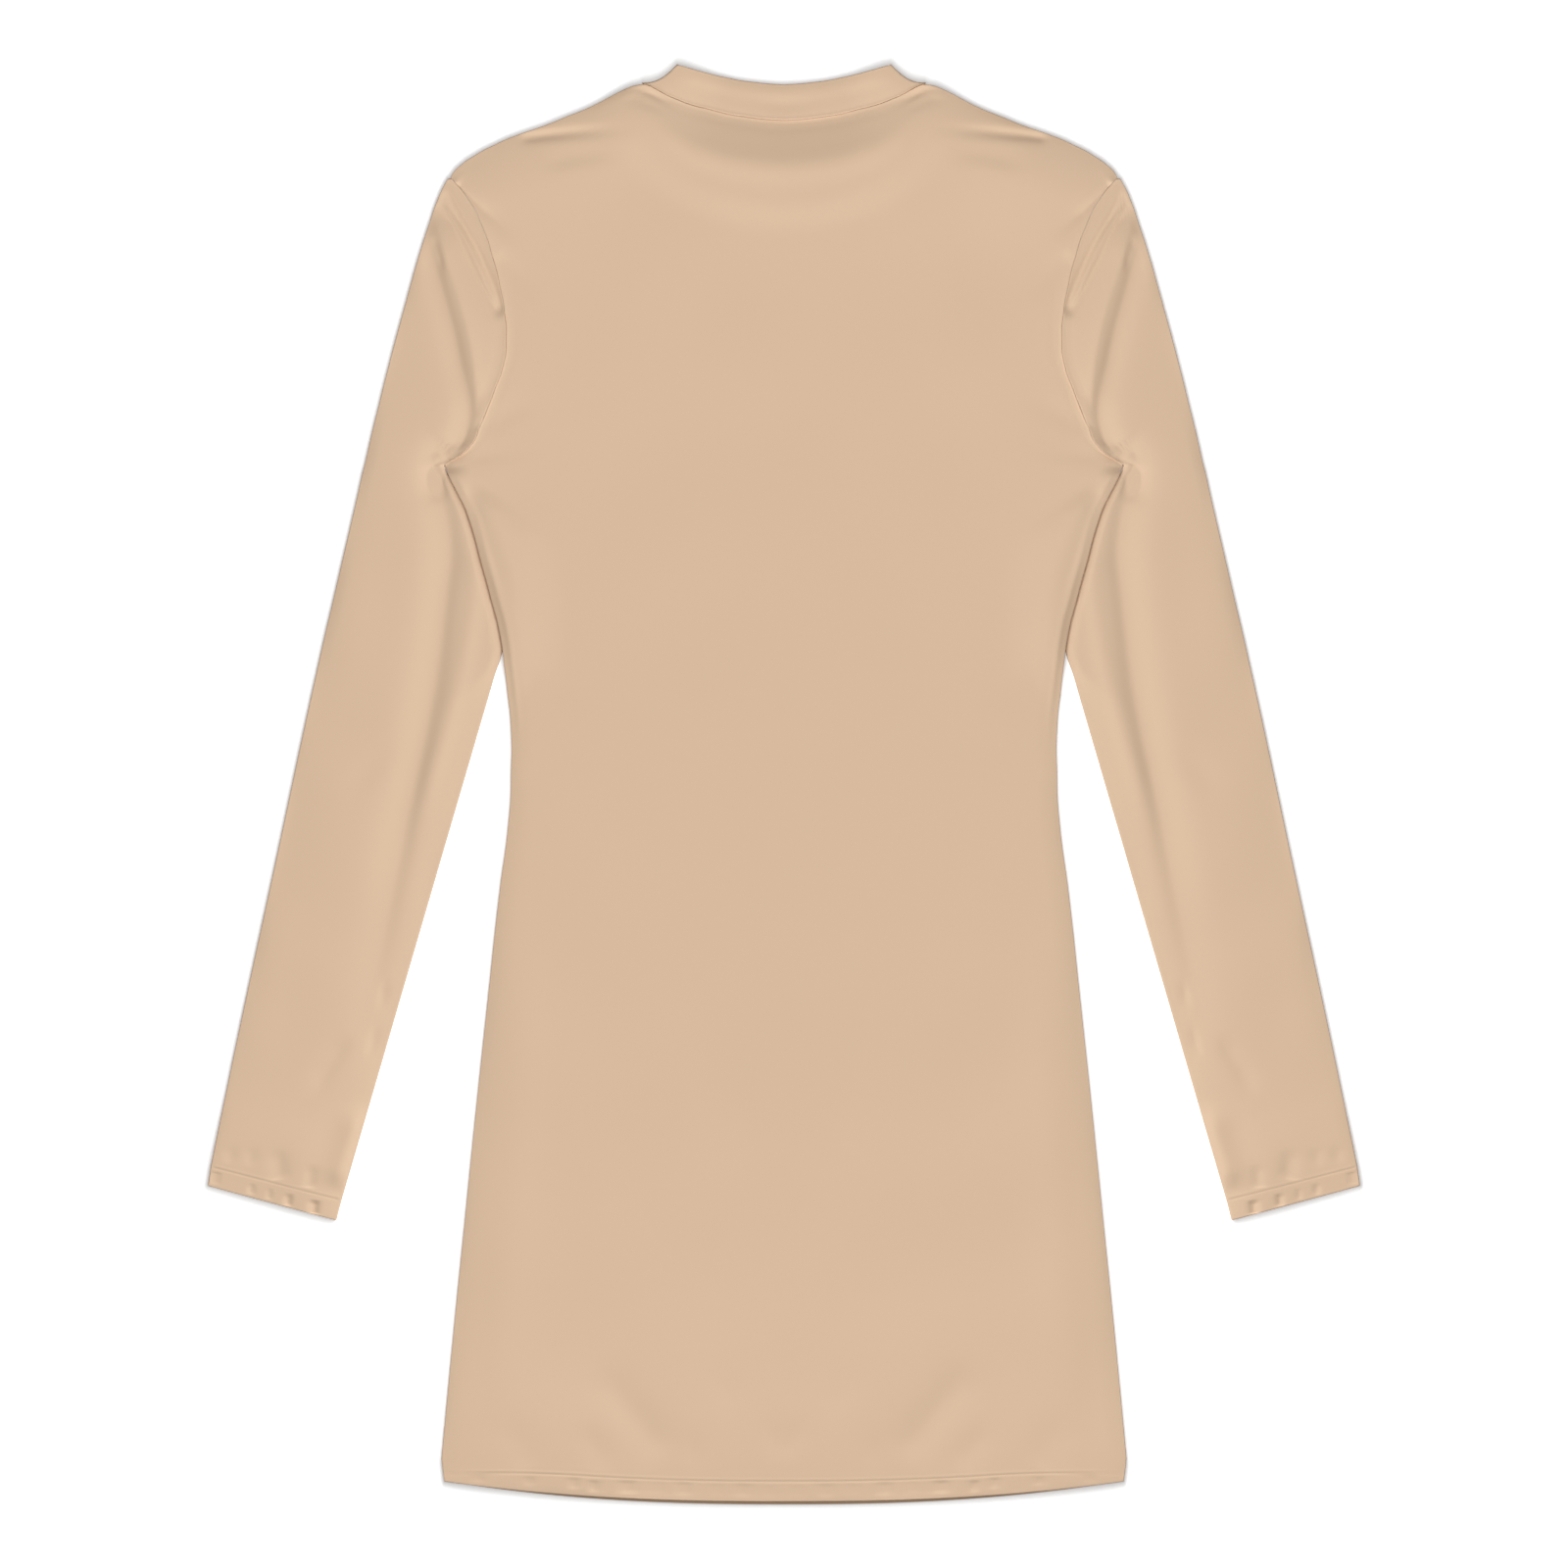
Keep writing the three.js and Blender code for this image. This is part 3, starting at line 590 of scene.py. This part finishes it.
def neck_sag(x, y):
    """How far the cloth sinks into the neck, past the front of the collar."""
    out = np.abs(x)
    below = np.maximum(past_collar(x, y) + 9, 0)
    return 0.085 * (np.hypot(below, 5) - 5) * (1 - smooth(36, 72, out))


def back_panel():
    """The back, with air below it and its creases."""
    folds = bpy.context.scene.dress_folds
    x, y, from_free, from_seam = panel_plan(0, "back_y", 3.2, 3.2)
    inside = np.minimum(from_free, from_seam)
    out = np.abs(x)
    to_hem = y - hem_y(x, 0)
    above_stitches = to_hem - stitch_depth(x)
    thickness = CLOTH + turned_hem(above_stitches)
    neck_out = np.hypot(x / (NECK_POINT_X + 6), (y - NECK_POINT_Y) / 70)
    neck_lift = (COLLAR_THICKNESS - CLOTH) * (1 - smooth(1, 1.3, neck_out))
    front_top = CLOTH + TURNED * (1 - smooth(-1, 70, above_stitches))
    below = ride_height(x, y) + front_top + neck_lift
    half = half_width(np.minimum(y, TIP_Y))
    from_side = half - out + np.maximum(y - UNDERARM_Y, 0) * 0.8
    from_top = top_edge(x, "back_y") - y
    on_sleeve = smooth(50, 90, y) * (1 - smooth(180, 200, y))
    side_rise = 0.6 * rise(from_side, 13 - 6 * on_sleeve) + 0.4 * rise(from_side, 60 - 40 * on_sleeve)
    loft = folds.loft / MM * side_rise * rise(from_top + 1, 38) * rise(to_hem + 10, 80)
    settle = rise(from_free, 6)
    creases = crease_height(BODY_CREASES, out, y) * folds.body_creases
    wave = unevenness(x, y, 3, 60, 190, folds.unevenness / MM)

    sag = neck_sag(x, y)
    imprint = 0.7 * np.exp(-(((past_collar(x, y) + 9) / 9) ** 2)) * (1 - smooth(62, 84, out))

    allowance = 0.55 * np.exp(-(((half - out - 5) / 1.8) ** 2))
    allowance = allowance * (1 - smooth(176, 190, y)) * smooth(10, 70, y)
    seam = seam_relief(from_seam) * smooth(2, 10, from_free)
    air = loft + settle * (creases + wave + allowance + imprint)
    relief = seam + rise(inside, 2) * stitch_relief(above_stitches)
    floor = below + GAP + np.maximum(air, CLEARANCE) - sag + relief
    upper, lower = rounded_skins(x, y, floor, thickness, from_free, from_seam)
    uv = np.stack([x, y], -1).reshape(-1, 2)
    made = shell_object("back_panel", upper, lower, grid_quads(*x.shape), uv, bpy.data.materials["jersey"])
    finish_piece(made, "back_panel")


def sleeve_object(name, side):
    """A flattened tube, open along the armhole; side is 1 for the right sleeve and -1 for the left."""
    folds = bpy.context.scene.dress_folds
    cuff = SLEEVE["y"][0] + hem_steps()
    rows = np.concatenate([
        cuff,
        spread((cuff[-1], 0), (-200, 2.2), (60, 4.2), (180, 2), (UNDERARM_Y - 0.3, 1))[1:],
        spread((UNDERARM_Y + 0.3, 0), (200, 1), (TIP_Y - 3, 2)),
        [TIP_Y - 1.6, TIP_Y - 0.6],
    ])
    is_open = rows > UNDERARM_Y
    inner_x = np.where(is_open, read(ARMHOLE, "y", "half", rows), read(SLEEVE, "y", "inner", rows))
    step = 0.5
    slope = (read(ARMHOLE, "y", "half", rows + step) - read(ARMHOLE, "y", "half", rows - step)) / (2 * step)
    inner_x = inner_x + np.where(is_open, SEAM / np.hypot(1, slope), 0)
    inner_y = rows - np.where(is_open, SEAM * slope / np.hypot(1, slope), 0)
    outer_x = np.where(is_open, read(ARMHOLE, "y", "outer", rows), read(SLEEVE, "y", "outer_x", rows))
    outer_y = np.where(is_open, rows, read(SLEEVE, "y", "outer_y", rows))
    run = np.stack([outer_x - inner_x, outer_y - inner_y], -1)
    width = np.linalg.norm(run, axis=1)
    run = run / width[:, None]
    to_hem = np.where(is_open, FAR, rows - SLEEVE["y"][0])
    wall = CLOTH + TURNED * (1 - smooth(8, 70, to_hem))
    edge = 2 * wall + FOLD_AIR
    start = np.stack([inner_x, inner_y], -1) + run * np.where(is_open, 0, edge * FOLD_ROUND)[:, None]
    end = np.stack([outer_x, outer_y], -1) - run * (edge * FOLD_ROUND)[:, None]

    def along(shares):
        return start[:, None] + (end - start)[:, None] * shares[None, :, None]

    near = np.array([0, 0.004, 0.012, 0.024, 0.04, 0.06, 0.085])
    over_shares = np.concatenate([near, np.linspace(0.097, 0.903, 76), 1 - near[:0:-1], [1]])
    under_shares = np.concatenate([near, np.linspace(0.15, 0.85, 12), 1 - near[:0:-1], [1]])
    over, under = along(over_shares), along(under_shares)
    x, y = over[..., 0], over[..., 1]
    visible = np.where(is_open[:, None], inner_x[:, None] - PAST_SEAM,
                       np.maximum(inner_x[:, None], half_width(y)) + COVER)
    visible = np.where(is_open[:, None] | (y > 58), visible, inner_x[:, None])
    from_outer = outer_x[:, None] - x - edge[:, None] * FOLD_ROUND
    inner_rise = rise(x - visible, 5 + 27 * (1 - smooth(40, 70, y)))
    loft = 1.05 * folds.loft / MM * rise(from_outer, 60) * inner_rise * rise(to_hem[:, None] + 20, 70)
    inside = np.minimum(x - visible, from_outer)
    creases = crease_height(SLEEVE_CREASES, x, y) * folds.sleeve_creases
    wave = unevenness(x, y, 11, 45, 140, folds.unevenness / MM)
    hem = np.broadcast_to(to_hem[:, None], x.shape)
    air = loft + rise(inside, 7) * (creases + wave)

    def armhole_distance(plan):
        return np.where(is_open[:, None], np.linalg.norm(plan - start[:, None], axis=2), FAR)

    to_armhole = armhole_distance(over)
    relief = seam_relief(to_armhole) + rise(inside, 3) * stitch_relief(hem - CUFF_STITCHES)
    height = edge[:, None] + np.maximum(air, CLEARANCE) + relief
    half = wall[:, None] / 2
    shape = half * edge_shape(hem, to_armhole, half)
    over_top, over_bottom = height - half + shape, height - half - shape
    shape = half * edge_shape(to_hem[:, None], armhole_distance(under), half)
    under_bottom, under_top = half - shape, half + shape

    angles = np.radians(np.linspace(-70, 70, 9))

    def bend(centre, outwards, turns):
        shape_bend = np.maximum(quarter(to_hem, wall / 2), 0.06)[:, None]
        skins = []
        for face in (1, -1):
            radius = (edge / 2 - wall / 2)[:, None] + face * (wall / 2)[:, None] * shape_bend
            reach = 2 * FOLD_ROUND * radius * np.cos(turns)
            plan = centre[:, None] + outwards * run[:, None] * reach[..., None]
            z = (edge / 2)[:, None] + radius * np.sin(turns)
            skins.append(np.concatenate([plan, z[..., None]], -1))
        return skins

    def lay(plan, z):
        return np.concatenate([plan, z[..., None]], -1)

    outer_bend = bend(end, 1, angles)
    inner_bend = bend(start, -1, angles[::-1])
    reverse = slice(None, None, -1)
    outer_skin = np.concatenate([
        lay(under, under_bottom), outer_bend[0], lay(over, over_top)[:, reverse], inner_bend[0]], axis=1)
    inner_skin = np.concatenate([
        lay(under, under_top), outer_bend[1], lay(over, over_bottom)[:, reverse], inner_bend[1]], axis=1)
    around = outer_skin.shape[1]
    across_open = around - len(angles) - 1
    quads = []
    for i in range(len(rows) - 1):
        j = np.arange(across_open if is_open[i + 1] else around)
        following = (j + 1) % around
        quads.append(np.column_stack([i * around + j, i * around + following,
                                      (i + 1) * around + following, (i + 1) * around + j]))
    quads = np.vstack(quads)
    outer_points, inner_points = outer_skin.reshape(-1, 3).copy(), inner_skin.reshape(-1, 3).copy()
    turn = math.radians(SLEEVE_LEAN)
    px, py = outer_points[:, 0], outer_points[:, 1]
    uv = np.stack([px * math.cos(turn) + py * -math.sin(turn), px * math.sin(turn) + py * math.cos(turn)], -1)
    outer_points[:, 0] *= side
    inner_points[:, 0] *= side
    made = shell_object(name, outer_points, inner_points, quads, uv, bpy.data.materials["jersey"])
    finish_piece(made, name)


def collar_object():
    """The ring of the collar, folded flat at its two ends."""
    radius = (COLLAR_THICKNESS + GAP) / 2
    middle = COLLAR_THICKNESS + GAP / 2
    near = edge_steps()[:10] / COLLAR_HEIGHT
    across = np.concatenate([near, np.linspace(0.22, 0.8, 8), 1 - near[::-1]])
    xs = np.linspace(0, NECK_POINT_X, 64)
    run = np.array([NECK_POINT_X - NECK["back_edge_x"][-1], NECK_POINT_Y - NECK["back_edge_y"][-1]])
    sideways = np.array([-run[1], run[0]]) / np.hypot(*run)
    rows = []

    def add(side, place, half, degrees):
        seam = np.array([place, float(read(NECK, "x", f"{half}_y", place))])
        edge = np.array([float(read(NECK, "x", f"{half}_edge_{axis}", place)) for axis in "xy"])
        rows.append((side, seam, edge, degrees))

    turns = np.linspace(70, -70, 7)
    for side, half, places, degrees in ((1, "back", xs[::-1], 90), (-1, "back", xs[1:], 90)):
        for place in places:
            add(side, place, half, degrees)
    for degrees in turns:
        add(-1, NECK_POINT_X, "back", degrees)
    for side, half, places, degrees in ((-1, "front", xs[::-1], -90), (1, "front", xs[1:], -90)):
        for place in places:
            add(side, place, half, degrees)
    for degrees in turns[::-1]:
        add(1, NECK_POINT_X, "back", degrees)

    height_in = across * COLLAR_HEIGHT
    outer, inner, uv = [], [], []
    run_length, last = 0.0, None
    for side, seam, edge, degrees in rows:
        lean = math.radians(degrees)
        out = abs(seam[0])
        at_end = smooth(58, NECK_POINT_X, out)
        bow = -at_end * 3.2 * np.sin(math.pi * across**0.8)
        share = (SEAM + (COLLAR_HEIGHT - SEAM) * across) / COLLAR_HEIGHT
        plan = seam + (edge - seam) * share[:, None] + bow[:, None] * sideways
        shape = edge_shape(COLLAR_HEIGHT - height_in, height_in, COLLAR_THICKNESS / 4)
        reach = 2 * FOLD_ROUND * math.cos(lean) * sideways
        centre = plan + radius * reach
        puff = seam_side = np.zeros(len(across))
        if degrees == 90:
            roll = 0.16 * np.exp(-(((across - 0.78) / 0.2) ** 2))
            dip = -0.16 * np.exp(-(((across - 0.42) / 0.22) ** 2)) * (0.5 + 1.6 * np.exp(-((out / 16) ** 2)))
            puff = (0.3 + roll + dip) * (1 - at_end) * rise(height_in, 8) * rise(COLLAR_HEIGHT - height_in, 8)
            puff = puff - 1.95 * (1 - float(smooth(40, 80, out)))
            seam_side = 0.25 * np.exp(-((height_in / 1.2) ** 2))
        for skins, face in ((outer, 1), (inner, -1)):
            offset = face * COLLAR_THICKNESS / 2 * shape
            xy = centre + offset[:, None] * reach
            z = middle + (radius + offset) * math.sin(lean) + puff + (seam_side if face == 1 else 0)
            skins.append(np.column_stack([side * xy[:, 0], xy[:, 1], z]))
        here = outer[-1][0]
        run_length += 0.0 if last is None else float(np.linalg.norm(here - last))
        last = here
        uv.append(np.column_stack([np.full(len(across), run_length), height_in]))
    count, per = len(rows), len(across)
    at = (np.arange(count)[:, None] * per + np.arange(per - 1)).reshape(-1)
    after = ((np.arange(count)[:, None] + 1) % count * per + np.arange(per - 1)).reshape(-1)
    quads = np.column_stack([at, at + 1, after + 1, after])
    jersey = bpy.data.materials["collar_jersey"]
    made = shell_object("collar", np.vstack(outer), np.vstack(inner), quads, np.vstack(uv), jersey)
    finish_piece(made, "collar")


def evened_lamp(power):
    """A soft lamp that lights every part of a flat floor alike."""
    data = bpy.data.lights.new("lamp", "POINT")
    data.shadow_soft_size = 0.2
    data.energy = power
    data.use_nodes = True
    nodes, links = data.node_tree.nodes, data.node_tree.links
    falloff = nodes.new("ShaderNodeLightFalloff")
    falloff.inputs["Strength"].default_value = 1
    path = nodes.new("ShaderNodeLightPath")
    evened = nodes.new("ShaderNodeMath")
    evened.operation = "MULTIPLY"
    links.new(falloff.outputs["Constant"], evened.inputs[0])
    links.new(path.outputs["Ray Length"], evened.inputs[1])
    links.new(evened.outputs[0], nodes["Emission"].inputs["Strength"])
    return bpy.data.objects.new("lamp", data)


class DRESS_OT_materials(bpy.types.Operator):
    """Makes the jersey of the body, the sleeves and the collar"""

    bl_idname = "dress.materials"
    bl_label = "Cloth"

    def execute(self, context):
        cloth_material("jersey", context.scene.dress_cloth.jersey)
        cloth_material("collar_jersey", context.scene.dress_cloth.collar)
        return {"FINISHED"}


class DRESS_OT_panels(bpy.types.Operator):
    """Makes the front panel and the back panel that lies on it"""

    bl_idname = "dress.panels"
    bl_label = "Panels"

    def execute(self, context):
        front_panel()
        back_panel()
        return {"FINISHED"}


class DRESS_OT_sleeves(bpy.types.Operator):
    """Makes the two flattened sleeves"""

    bl_idname = "dress.sleeves"
    bl_label = "Sleeves"

    def execute(self, context):
        sleeve_object("sleeve_right", 1)
        sleeve_object("sleeve_left", -1)
        return {"FINISHED"}


class DRESS_OT_collar(bpy.types.Operator):
    """Makes the stand collar, folded flat"""

    bl_idname = "dress.collar"
    bl_label = "Collar"

    def execute(self, context):
        collar_object()
        return {"FINISHED"}


class DRESS_OT_stage(bpy.types.Operator):
    """Makes the floor, the light and the camera above the dress"""

    bl_idname = "dress.stage"
    bl_label = "Stage"

    def execute(self, context):
        stage = context.scene.dress_stage
        mesh = bpy.data.meshes.new("floor")
        reach, height = 20.0, -0.0002
        corners = [(-reach, -reach), (reach, -reach), (reach, reach), (-reach, reach)]
        mesh.from_pydata([(x, y, height) for x, y in corners], [], [(0, 1, 2, 3)])
        floor = bpy.data.objects.new("floor", mesh)
        context.scene.collection.objects.link(floor)
        material = bpy.data.materials.new("floor")
        material.use_nodes = True
        nodes, links = material.node_tree.nodes, material.node_tree.links
        shader = nodes["Principled BSDF"]
        shader.inputs["Base Color"].default_value = (0.9, 0.9, 0.9, 1)
        shader.inputs["Roughness"].default_value = 1
        shader.inputs["Specular IOR Level"].default_value = 0
        path = nodes.new("ShaderNodeLightPath")
        glow = nodes.new("ShaderNodeMath")
        glow.operation = "MULTIPLY"
        glow.inputs[1].default_value = 0.35
        links.new(path.outputs["Is Camera Ray"], glow.inputs[0])
        shader.inputs["Emission Color"].default_value = (1, 1, 1, 1)
        links.new(glow.outputs[0], shader.inputs["Emission Strength"])
        mesh.materials.append(material)

        world = bpy.data.worlds.new("studio")
        context.scene.world = world
        world.use_nodes = True
        world.node_tree.nodes["Background"].inputs["Color"].default_value = (1, 1, 1, 1)
        world.node_tree.nodes["Background"].inputs["Strength"].default_value = stage.fill

        for place in (-1, 0, 1):
            lamp = evened_lamp(stage.lamp_power / 3)
            lamp.location = (0, place * stage.lamp_spread, stage.lamp_height)
            context.scene.collection.objects.link(lamp)

        eye = bpy.data.cameras.new("camera")
        eye.sensor_width = 36
        eye.lens = 36 * stage.camera_height / stage.view_side
        camera = bpy.data.objects.new("camera", eye)
        camera.location = (0, 0, stage.camera_height)
        context.scene.collection.objects.link(camera)
        context.scene.camera = camera
        context.scene.view_settings.view_transform = "Standard"
        return {"FINISHED"}


class DRESS_PT_sidebar(bpy.types.Panel):
    """The dress in the sidebar"""

    bl_label = "Dress"
    bl_idname = "DRESS_PT_sidebar"
    bl_space_type = "VIEW_3D"
    bl_region_type = "UI"
    bl_category = "Dress"

    def draw(self, context):
        for group in (context.scene.dress_cloth, context.scene.dress_folds, context.scene.dress_stage):
            box = self.layout.box()
            for name in group.bl_rna.properties.keys():
                if name not in ("rna_type", "name"):
                    box.prop(group, name)
        for operator in OPERATORS:
            self.layout.operator(operator.bl_idname)


SETTINGS = {"dress_cloth": ClothSettings, "dress_folds": FoldSettings, "dress_stage": StageSettings}
OPERATORS = (DRESS_OT_materials, DRESS_OT_panels, DRESS_OT_sleeves, DRESS_OT_collar, DRESS_OT_stage)
CLASSES = (*SETTINGS.values(), *OPERATORS, DRESS_PT_sidebar)


def register():
    for made in CLASSES:
        bpy.utils.register_class(made)
    for name, group in SETTINGS.items():
        setattr(bpy.types.Scene, name, bpy.props.PointerProperty(type=group))


def unregister():
    for name in SETTINGS:
        delattr(bpy.types.Scene, name)
    for made in reversed(CLASSES):
        bpy.utils.unregister_class(made)


def main():
    register()
    bpy.ops.dress.materials()
    bpy.ops.dress.panels()
    bpy.ops.dress.sleeves()
    bpy.ops.dress.collar()
    bpy.ops.dress.stage()


if __name__ == "__main__":
    main()
